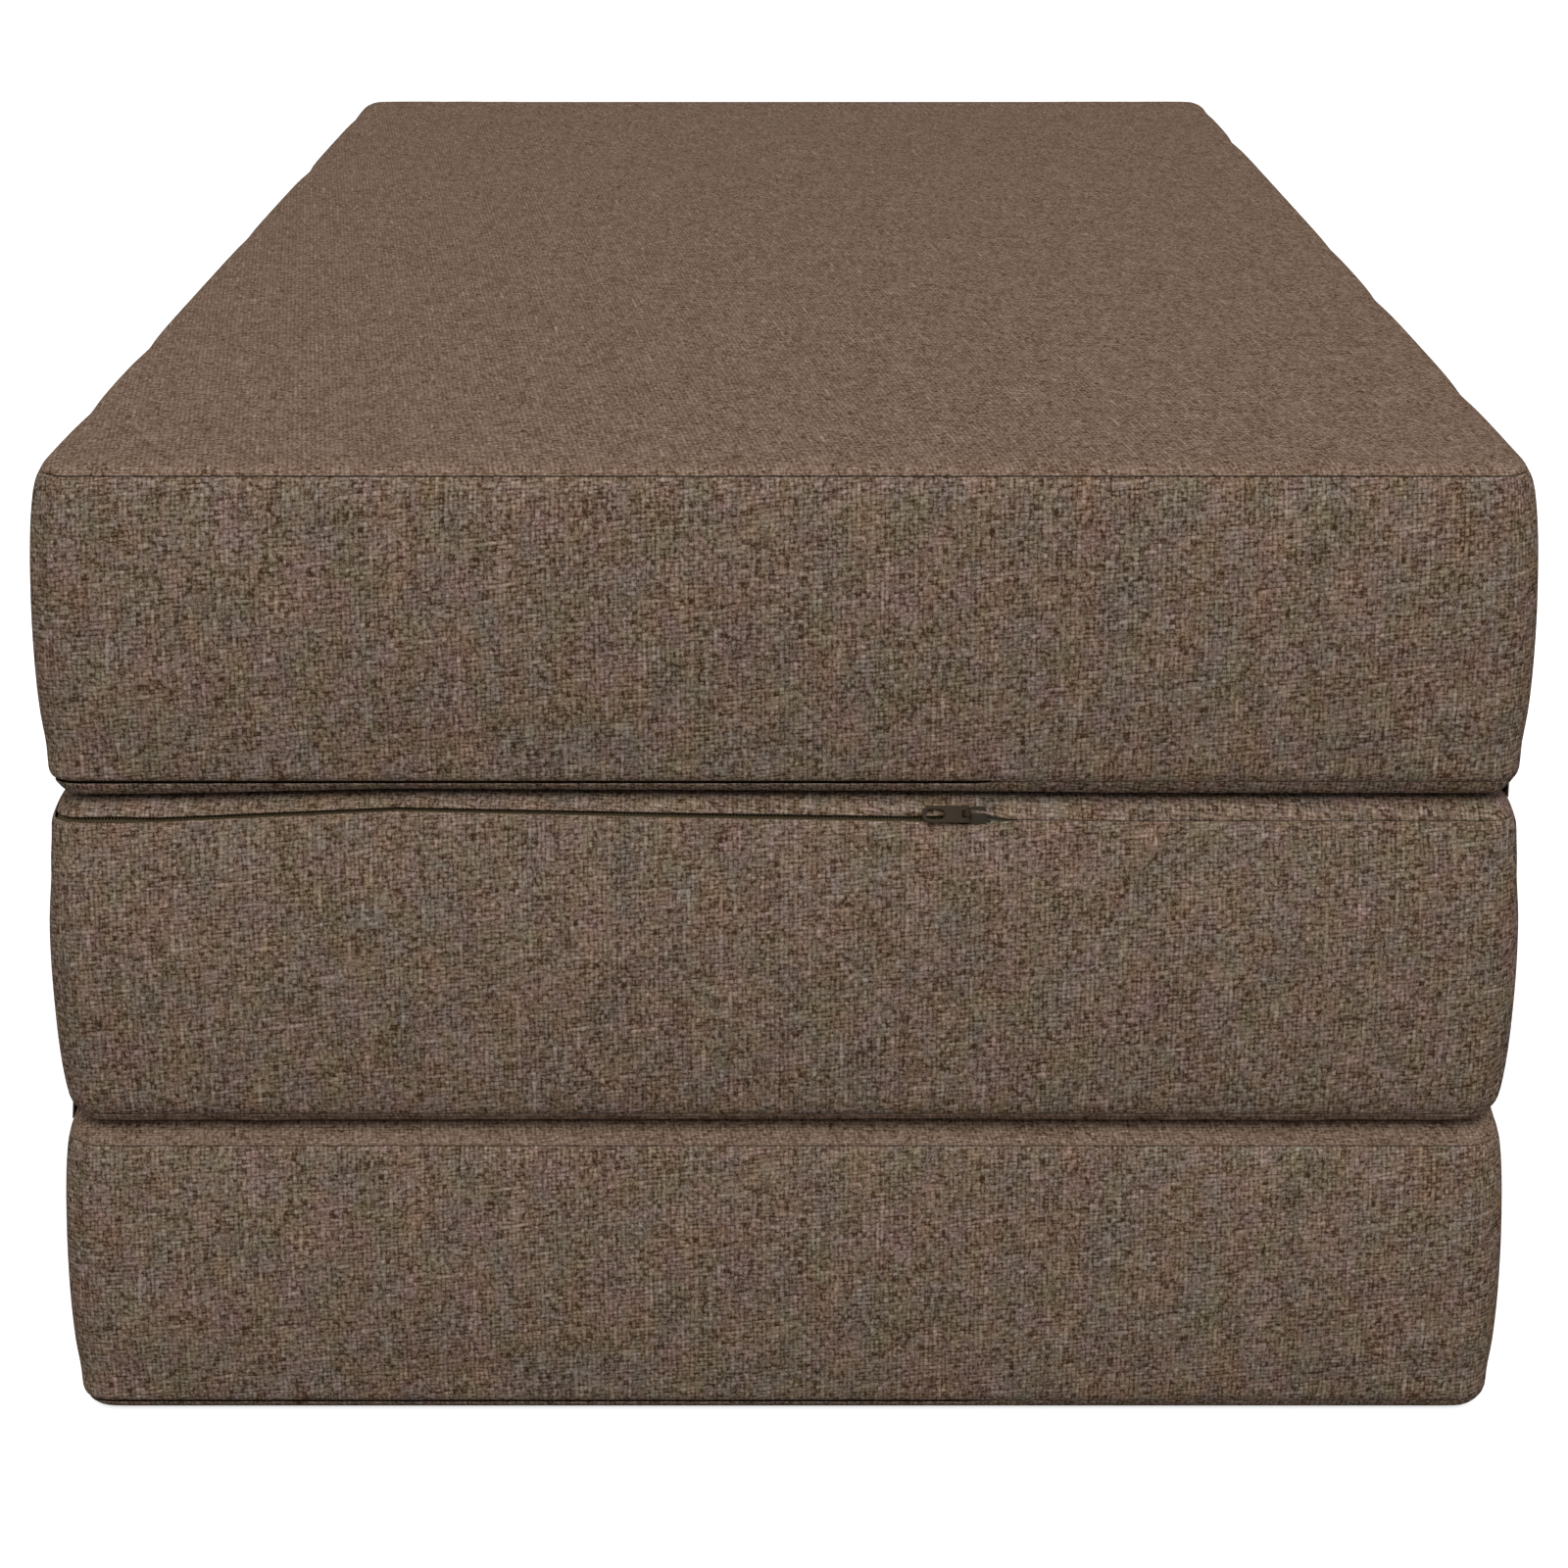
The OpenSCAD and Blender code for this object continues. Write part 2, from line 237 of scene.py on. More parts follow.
CELL, ROWS, LEVELS = 10 * MM, 3, 15
COLUMNS_X = round(2 * CENTRE_X / CELL) + 2 * ROWS
COLUMNS_Y = round(2 * CENTRE_Y / CELL) + 2 * ROWS


def make_cage(name, columns_x, columns_y, levels):
    """A box of unit size, cut across by its columns and levels, each vertex noting its place."""
    bpy.ops.mesh.primitive_cube_add(size=1)
    cage = named(name)
    counts = (columns_x, columns_y, levels)
    editing(cage)
    for axis, count in enumerate(counts):
        choose(cage, "edges", lambda e: abs(e.verts[0].co[axis] - e.verts[1].co[axis]) > 1e-6)
        bpy.ops.mesh.subdivide(number_cuts=count - 1)
    done()
    places = np.rint((points(cage) + 0.5) * counts).astype(int)
    for axis, word in enumerate(("column_x", "column_y", "level")):
        note(cage, word, places[:, axis])
    note(cage, "fold", np.zeros(len(places)))
    return cage


def stations(index, count, half):
    """Where a column stands on the straight part of a side, and how far out it is on the rim."""
    inner = count - 2 * ROWS
    step = np.clip(index - ROWS, 0, inner)
    rim = np.where(index < ROWS, index - ROWS, np.where(index > inner + ROWS, index - inner - ROWS, 0))
    return -half + 2 * half * step / inner, rim / ROWS


def plan(piece):
    """For each vertex: its place on the inner rectangle, its way out from there, and its rim share."""
    x, ex = stations(note(piece, "column_x"), COLUMNS_X, CENTRE_X)
    y, ey = stations(note(piece, "column_y"), COLUMNS_Y, CENTRE_Y)
    # The two columns at the zip's end stand where its lips start to close, and have closed
    for column, place in ((90 * MM, LIPS_CLOSE), (100 * MM, LIPS_CLOSED)):
        x = np.where(np.isclose(x, column, atol=MM), place, x)
    a, b = np.abs(ex), np.abs(ey)
    big = np.maximum(np.maximum(a, b), 1e-9)
    angle = np.where(a >= b, math.pi / 4 * b / big, math.pi / 2 - math.pi / 4 * a / big)
    on_rim = np.maximum(a, b) > 0
    nx = np.where(on_rim & (a > 0), np.copysign(np.cos(angle), ex), 0)
    ny = np.where(on_rim & (b > 0), np.copysign(np.sin(angle), ey), 0)
    return x, y, nx, ny, np.maximum(a, b)


def zip_share(x, nx):
    """1 where the zip runs, 0 where the cover is sewn shut, for points on the cover's side."""
    closing = np.clip((LIPS_CLOSED - x) / (LIPS_CLOSED - LIPS_CLOSE), 0, 1)
    return np.where(nx > 0.01, 0.0, np.where(nx < -0.01, 1.0, closing))


def level_height(level, seam_h):
    t = level / LEVELS
    return ZIP_H + (seam_h - ZIP_H) * (0.55 * (1 - np.cos(np.pi * t)) / 2 + 0.45 * t)


def wall_radius(z, seam_h, seam_r):
    t = np.clip((z - ZIP_H) / (seam_h - ZIP_H), 0, 1)
    full = np.maximum(0, np.sin(np.pi * t)) ** FULLNESS
    pull = (CORNER_R - SEAM_R) * (1 - t) + (CORNER_R - seam_r) * t
    return CORNER_R - SLACK * full - pull * (1 - full)


def pinches(block, y, nx, ny):
    """How strongly the sewn edge is drawn in along the left and right sides."""
    drawn = np.zeros(len(y))
    for side, places in ((1, block["right"]), (-1, block["left"])):
        here = np.clip(nx * side, 0, 1)
        world_y = -y if block["turned"] else y
        for count, place in enumerate(places):
            share = 0.7 + 0.3 * math.cos(2.4 * count + block["seed"])
            drawn = np.maximum(drawn, here * share * np.exp(-np.abs(world_y - place) / PINCH_REACH))
    # The four corners are drawn in as well
    return drawn + 2 * np.abs(nx * ny) * CORNER_PINCH / block["depth"]


def cover_places(piece, block):
    """Each vertex of the cage in its place on a slack cover."""
    seam_h, seam_r = block["seam_h"], block["seam_r"]
    level = note(piece, "level")
    x, y, nx, ny, rim = plan(piece)
    bow = rim * math.pi / 2
    z = level_height(level, seam_h)
    r = wall_radius(z, seam_h, seam_r)
    flap_r, flap_z = zip_point(*FLAP)
    first = level == 1
    r, z = np.where(first, flap_r, r), np.where(first, flap_z, z)
    # The sleeping panel
    top = level == LEVELS
    r = np.where(top, seam_r * np.sin(bow) ** block["rim"], r)
    z = np.where(top, seam_h + (BLOCK_H - seam_h) * np.cos(bow), z)
    # The underside, whose rim turns up to the zip
    for share, low_r, low_z in (*UNDER_ROWS, (1, *zip_point(*LIP))):
        row = (level == 0) & np.isclose(rim, share)
        r, z = np.where(row, low_r, r), np.where(row, low_z, z)
    # The pinches, which fade down the wall and across the panel's rim
    drawn = block["depth"] * pinches(block, y, nx, ny)
    fade = np.where(top, rim, np.exp(-np.maximum(0, seam_h - z) / PINCH_DROP))
    r = r - drawn * fade * (level > 0)
    return np.stack([x + nx * r, y + ny * r, z], 1)


def swell(cage, block):
    """Blows the slack cover out against its seams, as the foam does, and caps what it gives."""
    rest = cover_places(cage, block)
    level = note(cage, "level")
    x, y, nx, ny, rim = plan(cage)
    set_points(cage, rest)
    seams = cage.vertex_groups.new(name="seams")
    held = (((level == LEVELS) | (level <= 1)) & (rim == 1)) | (level == 0)
    seams.add([int(v) for v in np.flatnonzero(held)], 1.0, "REPLACE")
    alone(cage)
    cloth = cage.modifiers.new("Cloth", "CLOTH")
    given = cloth.settings
    given.quality = 5
    given.mass = 0.3
    given.tension_stiffness = given.compression_stiffness = 15
    given.shear_stiffness = 5
    given.bending_stiffness = 0.5
    given.use_pressure = True
    given.uniform_pressure_force = 4
    given.vertex_group_mass = "seams"
    given.effector_weights.gravity = 0
    given.shrink_min = -0.01
    cloth.collision_settings.use_collision = False
    cloth.point_cache.frame_start, cloth.point_cache.frame_end = 1, SWELL_FRAMES
    for count in range(1, SWELL_FRAMES + 1):
        bpy.context.scene.frame_set(count)
    bpy.ops.object.modifier_apply(modifier="Cloth")
    bpy.context.scene.frame_set(1)
    given = points(cage) - rest
    wall = (level > 1) & (level < LEVELS)
    share = np.where(np.abs(nx) > 0.5, SWELL_SIDES, SWELL_ENDS)
    length = np.maximum(np.linalg.norm(given, axis=1), 1e-9)
    capped = MOST_SWELL * np.tanh(length * share / MOST_SWELL) / length
    places = rest + given * (capped * wall)[:, None]
    top = level == LEVELS
    rise = rest[:, 2] + np.clip(given[:, 2], 0, MOST_RISE) * 0.5 * top
    ease = 0.35 * MM
    rise = -ease * np.logaddexp(-rise / ease, -(BLOCK_H - 0.15 * MM) / ease)
    dip = np.array([noise.noise(Vector((a * 9, b * 5, block["seed"]))) for a, b in zip(x, y)])
    rise = np.minimum(rise + 0.25 * MM * (dip - 0.6) * (1 - rim), BLOCK_H)
    places[:, 2] = np.where(top, np.where(rim == 1, rest[:, 2], rise), places[:, 2])
    set_points(cage, places)


def profile_length(block):
    """How far up the wall's cloth each level is."""
    z = level_height(np.arange(LEVELS + 1), block["seam_h"])
    r = wall_radius(z, block["seam_h"], block["seam_r"])
    return lengths_along(np.stack([z, r], 1))


def lay_weave(piece, block):
    """Unrolls the cloth, so that its threads run straight: along the panel, or round the wall."""
    level, fold = note(piece, "level"), note(piece, "fold")
    x, y, nx, ny, rim = plan(piece)
    flat_map = piece.data.uv_layers.new(name="Weave")
    corners = corners_of(piece)
    if "boxing" in piece.name:
        near = 1e-6
        turn = np.mod(np.arctan2(ny, nx), 2 * math.pi)
        turn = np.where((turn < near) & (y < CENTRE_Y - near), 2 * math.pi, turn)
        along = GIRTH_R * turn
        along += np.where(turn <= math.pi + near, CENTRE_X - x, 2 * CENTRE_X)
        down_left = np.where(turn <= math.pi + near, CENTRE_Y - y, 2 * CENTRE_Y)
        along += np.where(turn < math.pi - near, 0, down_left)
        along += np.where(turn < 1.5 * math.pi - near, 0, x + CENTRE_X)
        along += np.where(turn < 2 * math.pi - near, 0, y + CENTRE_Y)
        up = profile_length(block)[level] + np.where(level == 0, -1, 1) * fold * FOLD_STEP
        found = np.stack([along, up], 1)[corners]
        girth = along.max()
        starts = np.empty(len(piece.data.polygons), np.int32)
        piece.data.polygons.foreach_get("loop_start", starts)
        face = np.repeat(np.arange(len(starts)), np.diff(np.append(starts, len(corners))))
        widest = np.zeros(len(starts))
        np.maximum.at(widest, face, found[:, 0])
        wraps = (widest[face] - found[:, 0]) > girth / 2
        found[:, 0] += np.where(wraps, girth, 0)
    else:
        wide, tall = SEAM_R, ZIP_H
        if level.max():
            wide, tall = block["seam_r"], BLOCK_H - block["seam_h"]
        bow = np.linspace(0, math.pi / 2, 10)
        arc = lengths_along(np.stack([wide * np.sin(bow), tall * np.cos(bow)], 1))
        reach = np.interp(rim * math.pi / 2, bow, arc) + fold * FOLD_STEP
        found = np.stack([x + nx * reach, y + ny * reach], 1)[corners]
    flat_map.data.foreach_set("uv", found.ravel())


def fold_in(piece, level, steps):
    """Turns the cloth's edge in at a level. Each step gives a new ring's way out and height."""
    for count, place in enumerate(steps):
        editing(piece)
        choose_open_edge(piece, level, count)
        bpy.ops.mesh.extrude_region_move()
        done()
        new = np.empty(len(piece.data.vertices), bool)
        piece.data.vertices.foreach_get("select", new)
        folds = note(piece, "fold")
        folds[new] = count + 1
        note(piece, "fold", folds)
        x, y, nx, ny, _ = plan(piece)
        r, z = place(x, y, nx, ny)
        places = points(piece)
        moved = np.stack([x + nx * r, y + ny * r, z + 0 * x], 1)
        places[new] = moved[new]
        set_points(piece, places)


def choose_open_edge(piece, level, fold):
    """Selects the open edge of the cloth at a level and fold, in edit mode."""
    mesh = bmesh.from_edit_mesh(piece.data)
    levels, folds = mesh.verts.layers.int["level"], mesh.verts.layers.int["fold"]
    choose(
        piece, "edges",
        lambda e: e.is_boundary and all(v[levels] == level and v[folds] == fold for v in e.verts),
    )


def lip_half(x, y):
    """Half the gap between the zip's lips, which the slider holds apart where it stands or stops."""
    at_slider = (y > 0) * np.clip(1.6 - np.abs(x - SLIDER_X) / LIP_EASE, 0, 1)
    at_stop = (y > 0) * np.clip(1.8 - np.abs(x - SLIDER_X + ZIP_TRAVEL) / LIP_EASE, 0, 1)
    wider = (LIP_HALF_AT_SLIDER - LIP_HALF) * at_slider + (LIP_HALF_AT_STOP - LIP_HALF) * at_stop
    return LIP_HALF + wider


def lip_step(side, extra, out, sewn_out):
    """One ring of a zip lip. Where the cover is sewn shut the lips meet and run on inwards."""
    def place(x, y, nx, ny):
        zipped = zip_share(x, nx)
        across = side * (SEWN_HALF + zipped * (lip_half(x, y) + extra - SEWN_HALF))
        return zip_point(across, sewn_out + zipped * (out - sewn_out))
    return place


def seam_step(block, side, depth):
    """One ring of the allowance at the plain seam, drawn in with its pinches."""
    def place(x, y, nx, ny):
        drawn = block["depth"] * pinches(block, y, nx, ny)
        return block["seam_r"] - drawn - depth, block["seam_h"] + side * 0.3 * MM + 0 * x
    return place


def lower_edge(piece, side):
    """The zip's lip and its turned-in allowance, on the wall (side 1) or the underside (side -1)."""
    x, y, nx, ny, rim = plan(piece)
    ring = (note(piece, "level") == 0) & (rim == 1)
    r, z = lip_step(side, 0.4 * MM, LIP_OUT, LIP_OUT)(x, y, nx, ny)
    places = points(piece)
    places[ring] = np.stack([x + nx * r, y + ny * r, z], 1)[ring]
    set_points(piece, places)
    fold_in(piece, 0, [
        lip_step(side, 0, LIP_FOLD, LIP_OUT - 0.9 * MM),
        lip_step(side, 0.4 * MM, LIP_BACK, LIP_OUT - 2.2 * MM),
        lip_step(side, 2.2 * MM, LIP_BACK, LIP_OUT - 4 * MM),
    ])


def take(cage, name, wanted):
    """Separates the faces at a level from the cage as a piece of their own."""
    editing(cage)
    levels = bmesh.from_edit_mesh(cage.data).verts.layers.int["level"]
    choose(cage, "faces", lambda f: all(v[levels] == wanted for v in f.verts))
    bpy.ops.mesh.separate(type="SELECTED")
    done()
    piece = next(o for o in bpy.context.selected_objects if o != cage)
    piece.name = piece.data.name = name
    return piece


def stand(piece, name):
    """Stands a block's piece in its place in the stack, and lets its front settle."""
    block = BLOCKS[name]
    places = points(piece)
    if block["turned"]:
        places[:, 1:] *= -1
    places[:, 2] += block["lift"]
    set_points(piece, settled(places))


# How far the covers have settled along the front, at heights up the stack: nothing in the middle of
# a front, most at the two gaps, and differently along the gap above the middle block
SETTLE_FROM, SETTLE_OVER = 560 * MM, 30 * MM
SETTLE_X = np.array([-330, -276, -170, -42, 55, 90, 153, 330]) * MM
SETTLED = (
    (95, 0), (137.6, -2), (149.85, -8.8), (152.7, -3.2), (195, 0), (255, 0),
    (291.5, [-2.3, -2.3, 2.9, -0.2, -1.9, -2.2, -2.8, -2.8]),
    (299.85, [-3.0, -2.6, 0.9, 0, -0.6, -0.9, -2.0, -2.2]), (307, 0),
)


def settled(places):
    x, y, z = places.T
    near = np.clip((-SETTLE_FROM - y) / SETTLE_OVER, 0, 1)
    near = near * near * (3 - 2 * near)
    shift = 0 * x
    for (low, a), (high, b) in zip(SETTLED[:-1], SETTLED[1:]):
        here = (z >= low * MM) & (z < high * MM)
        t = (z / MM - low) / (high - low)
        a, b = (np.interp(x, SETTLE_X, v * np.ones(len(SETTLE_X))) for v in (np.array(a), np.array(b)))
        shift = np.where(here, a + (b - a) * t, shift)
    return places + np.stack([0 * x, 0 * x, shift * near * MM], 1)


# Finishes: a material's maths written as plain sums


class Wire:
    """A value on its way through a finish. Sums with it add Math nodes."""

    def __init__(self, finish, socket):
        self.finish, self.socket = finish, socket

    def __add__(self, other):
        return self.finish.maths("ADD", self, other)

    def __sub__(self, other):
        return self.finish.maths("SUBTRACT", self, other)

    def __rsub__(self, other):
        return self.finish.maths("SUBTRACT", other, self)

    def __mul__(self, other):
        return self.finish.maths("MULTIPLY", self, other)

    def __truediv__(self, other):
        return self.finish.maths("DIVIDE", self, other)

    def __pow__(self, other):
        return self.finish.maths("POWER", self, other)

    __radd__, __rmul__ = __add__, __mul__


class Finish:
    """A material or a world, and its one way to add a node."""

    def __init__(self, name, kept_in=bpy.data.materials):
        self.made = kept_in.new(name)
        self.made.use_nodes = True
        self.tree = self.made.node_tree
        self.tree.nodes.clear()

    def node(self, kind, settings=None, sockets=None, output=0):
        made = self.tree.nodes.new(kind)
        for name, value in (settings or {}).items():
            if name == "stops":
                ramp = made.color_ramp.elements
                while len(ramp) < len(value):
                    ramp.new(0.5)
                for stop, (place, colour) in zip(ramp, value):
                    stop.position, stop.color = place, (*colour, 1)
            else:
                setattr(made, name, value)
        for name, value in (sockets or {}).items():
            if isinstance(value, Wire):
                self.tree.links.new(value.socket, made.inputs[name])
            else:
                made.inputs[name].default_value = value
        return Wire(self, made.outputs[output]) if len(made.outputs) else None

    def maths(self, operation, a, b=0.0, c=0.0):
        return self.node("ShaderNodeMath", {"operation": operation}, {0: a, 1: b, 2: c})

    def mixed(self, share, first, second, way="MIX"):
        first, second = (v if isinstance(v, Wire) else (*v, 1) for v in (first, second))
        return self.node(
            "ShaderNodeMix", {"data_type": "RGBA", "blend_type": way},
            {0: share, 6: first, 7: second}, 2,
        )

    def place(self, x, y, z=0.0):
        return self.node("ShaderNodeCombineXYZ", {}, {0: x, 1: y, 2: z})

    def grain(self, where, scale, detail=2.0, roughness=0.5):
        """Soft noise from 0 to 1, mostly near a half."""
        return self.node("ShaderNodeTexNoise", {}, {
            "Vector": where, "Scale": scale, "Detail": detail, "Roughness": roughness,
        })

    def speck(self, where):
        """A different number from 0 to 1 for each place."""
        return self.node("ShaderNodeTexWhiteNoise", {"noise_dimensions": "3D"}, {"Vector": where})

    def greatest(self, *values):
        """The greatest of 0 and the values."""
        found = 0.0
        for value in values:
            found = self.maths("MAXIMUM", value, found)
        return found

    def seen(self):
        """1 for the rays that show this surface to the camera, straight, in a gloss or through glass."""
        rays = self.node("ShaderNodeLightPath").socket.node.outputs
        kinds = ("Is Camera Ray", "Is Glossy Ray", "Is Transmission Ray")
        return self.greatest(*(Wire(self, rays[kind]) for kind in kinds))

    def surface(self, colour, roughness, height=None, depth=0.0, specular=0.5, **own):
        sockets = {"Base Color": colour, "Roughness": roughness, "Specular IOR Level": specular}
        sockets.update({name.replace("_", " ").title(): value for name, value in own.items()})
        if height is not None:
            sockets["Normal"] = self.node(
                "ShaderNodeBump", {}, {"Strength": 1.0, "Distance": depth, "Height": height}
            )
        shader = self.node("ShaderNodeBsdfPrincipled", {}, sockets)
        self.node("ShaderNodeOutputMaterial", {}, {"Surface": shader})
        return self.made


def paint(red, green, blue):
    """A screen colour from 0 to 255, as light."""
    return tuple(
        v / 12.92 if v <= 0.04045 else ((v + 0.055) / 1.055) ** 2.4
        for v in (red / 255, green / 255, blue / 255)
    )


def woven_cover(name, warp, weft, lean_warp, lean_weft, contrast, patches, tone):
    """A plain weave of mottled yarn, on the unrolled cloth, with a painted highlight on each yarn's
    crown and painted shade between the yarns.
    """
    f = Finish(name)
    flat = f.node("ShaderNodeUVMap", {"uv_map": "Weave"})
    parts = f.node("ShaderNodeSeparateXYZ", {}, {0: flat}).socket.node.outputs
    x, y = Wire(f, parts[0]), Wire(f, parts[1])
    wander_x = f.grain(f.place(x, y * 0.3, 3.0), 230.0) - 0.5
    wander_y = f.grain(f.place(x * 0.3, y, 7.0), 230.0) - 0.5
    u = (x + y * lean_warp + wander_x * (0.9 * warp)) / warp
    v = (y - x * lean_weft + wander_y * (1.1 * weft)) / weft
    warp_yarn, weft_yarn = f.maths("FLOOR", u), f.maths("FLOOR", v)
    wave_u, wave_v = (f.maths("COSINE", (t - 0.5) * math.pi) for t in (u, v))
    warp_on_top = f.node(
        "ShaderNodeMapRange", {"interpolation_type": "SMOOTHSTEP"},
        {"Value": wave_u * wave_v, "From Min": -0.25, "From Max": 0.25},
    )
    # A yarn's crown is long where it lies on top and narrow across. It shapes the bumps, and in the
    # colour it is a painted highlight along the crown, with painted shade towards the yarn's edges
    side_u, side_v = f.maths("ABSOLUTE", wave_u), f.maths("ABSOLUTE", wave_v)
    crown = (side_u ** 0.9) * (side_v ** 0.35) * warp_on_top
    crown = crown + (side_u ** 0.35) * (side_v ** 0.9) * (1 - warp_on_top)
    # Each yarn is lighter and darker along its length, in streaks and in slubs
    streak = f.grain(f.place(warp_yarn * 13.7, y * 60.0, 1.0), 1.0, 2.0, 0.7) - 0.5
    slub = f.grain(f.place(x * 80.0, weft_yarn * 17.3, 5.0), 1.0, 2.0, 0.7) - 0.5
    yarn_tone = slub * (1 - warp_on_top) + streak * warp_on_top + (streak + slub) * 0.2
    # A few pale yarns show as thin lines. Their pale tone is the yarns' own, and it fades towards each
    # yarn's edges as painted shade on the yarn's round
    pale_warp = f.greatest(f.grain(f.place(warp_yarn * 7.3, y * 42.0, 30.0), 1.0, 1.0) - 0.6)
    pale_weft = f.greatest(f.grain(f.place(x * 64.0, weft_yarn * 9.1, 40.0), 1.0, 1.0) - 0.62)
    pale = pale_warp * side_u + pale_weft * side_v
    bead = f.speck(f.place(warp_yarn, weft_yarn, 2.0)) - 0.5
    fibre_up = f.grain(f.place(x, y * 0.4, 0.0), 1.6 / warp, 2.0, 0.7) - 0.5
    fibre_along = f.grain(f.place(x * 0.4, y, 4.0), 1.6 / warp, 2.0, 0.7) - 0.5
    fibre = (fibre_up + fibre_along) * 0.75
    hair = f.grain(f.place(x, y * 0.6, 6.0), 4.2 / warp, 1.0) - 0.5
    cast = f.grain(f.place(x, y * 0.5, 21.0), 60.0, 2.0, 0.6) - 0.5
    # The crown term is painted light: a highlight on each yarn's crown and shade in the gaps between
    # yarns. The other terms are the yarns' own tone
    light = 1.0 + contrast * (
        1.8 * yarn_tone + crown * (0.8 * bead + 0.6) - 0.42
        + 4.0 * fibre + 1.2 * hair + 4.0 * pale + 0.3 * cast
    )
    # Lighter yarn is greyer and darker yarn is browner: the same steps between red, green and blue
    red_step, blue_step = tone[0] - tone[1], tone[1] - tone[2]
    middle = paint(tone[1], 0, 0)[0]
    stops = []
    for share in (0.2, 0.45, 0.7, 1.0, 1.4, 1.9, 2.5):
        lit = middle * share
        green = 255 * (12.92 * lit if lit < 0.0031308 else 1.055 * lit ** (1 / 2.4) - 0.055)
        stops.append((share / 2.5, paint(green + red_step, green, max(green - blue_step, 4))))
    yarn = f.node("ShaderNodeValToRGB", {"stops": stops}, {"Fac": light / 2.5})

    def patch(rise, depth, scale, first, second):
        """Soft patches between two tints, each given as what it adds to red, green and blue."""
        where = f.grain(f.place(x, y * rise, depth), scale, 3.0, 0.72)
        share = f.node("ShaderNodeMapRange", {}, {"Value": where, "From Min": 0.36, "From Max": 0.64})
        return f.mixed(share, *([1 + step * patches for step in tint] for tint in (first, second)))

    red = patch(0.6, 9.0, 48.0, (-0.06, 0.01, 0), (0.08, -0.02, 0))
    grey = patch(0.7, 14.0, 55.0, (0, 0, -0.11), (0, 0, 0.09))
    colour = f.mixed(1.0, yarn, f.mixed(1.0, red, grey, "MULTIPLY"), "MULTIPLY")
    height = crown * 0.8 + bead * 0.3 + fibre * 0.5
    return f.surface(colour, 0.95, height, 0.1 * warp * contrast, specular=0.0)


def plain_finish(name, colour, roughness, **own):
    f = Finish(name)
    where = f.node("ShaderNodeTexCoord", {}, {}, 3)
    mottle = f.grain(where, 160.0, 4.0, 0.6)
    tinted = f.mixed(mottle, [c * 0.85 for c in paint(*colour)], [c * 1.15 for c in paint(*colour)])
    return f.surface(tinted, roughness, f.grain(where, 900.0), 0.05 * MM, **own)


COVER = woven_cover("cover_cloth", 2.05 * MM, 2.1 * MM, 0.0, 0.12, 0.97, 1.25, (118.5, 102, 88.3))
PANEL = woven_cover("panel_cloth", 2.05 * MM, 2.1 * MM, 0.14, 0.0, 0.8, 0.0, (121.5, 101.5, 87))
FOAM = plain_finish("foam", (236, 228, 204), 0.9)
TAPE = plain_finish("zip_tape", (42, 36, 28), 0.9, specular=0.1)
TEETH = plain_finish("zip_teeth", (88, 75, 50), 0.6, specular=0.15)
METAL = plain_finish("zip_metal", (48, 38.5, 26), 0.55, specular=0.1)
DARK_METAL = plain_finish("slider_metal", (41, 34.5, 22), 0.55, specular=0.1)


def dress(piece, material, slot_name, *nodes):
    piece.data.materials.clear()
    piece.data.materials.append(material)
    if nodes:
        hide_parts(*nodes)
    return piece


# The covers

blank_cage = make_cage("cover_cage", COLUMNS_X, COLUMNS_Y, LEVELS)


def copy_of(piece, name):
    made = piece.copy()
    made.data = piece.data.copy()
    made.name = made.data.name = name
    bpy.context.collection.objects.link(made)
    return made


def sew_cover(name):
    """The three cloth pieces of one block's cover, swollen over its foam."""
    block = BLOCKS[name]
    cage = copy_of(blank_cage, name + "_boxing_cloth")
    swell(cage, block)
    panel = take(cage, name + "_seat_cloth", LEVELS)
    under = take(cage, name + "_underside_cloth", 0)
    wall = cage
    fold_in(panel, LEVELS, [seam_step(block, 1, 0.9 * MM), seam_step(block, 1, 4 * MM)])
    fold_in(wall, LEVELS, [seam_step(block, -1, 0.9 * MM), seam_step(block, -1, 4 * MM)])
    lower_edge(wall, 1)
    lower_edge(under, -1)
    girth = 4 * (CENTRE_X + CENTRE_Y) + 2 * math.pi * GIRTH_R
    cuts = {
        panel: ((2 * (HALF_W - SEAM_DRAWN), 2 * (HALF_D - SEAM_DRAWN)), "sleeping_panel", PANEL),
        wall: ((girth, profile_length(block)[-1] + ALLOWANCES), "boxing", COVER),
        under: ((2 * (HALF_W - HEM), 2 * (HALF_D - HEM)), "underside_panel", COVER),
    }
    for piece, (cut, node, cloth) in cuts.items():
        piece.vertex_groups.clear()
        lay_weave(piece, block)
        finish_with(piece, "SUBSURF", levels=1, render_levels=1)
        finish_with(piece, "SOLIDIFY", thickness=CLOTH, offset=-1.0, use_even_offset=False)
        smooth(piece)
        stand(piece, name)
        for word in ("column_x", "column_y", "level", "fold"):
            piece.data.attributes.remove(piece.data.attributes[word])
        dress(piece, cloth, "cover_fabric", f"{name}_{node}")
        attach(piece, name + "_block")


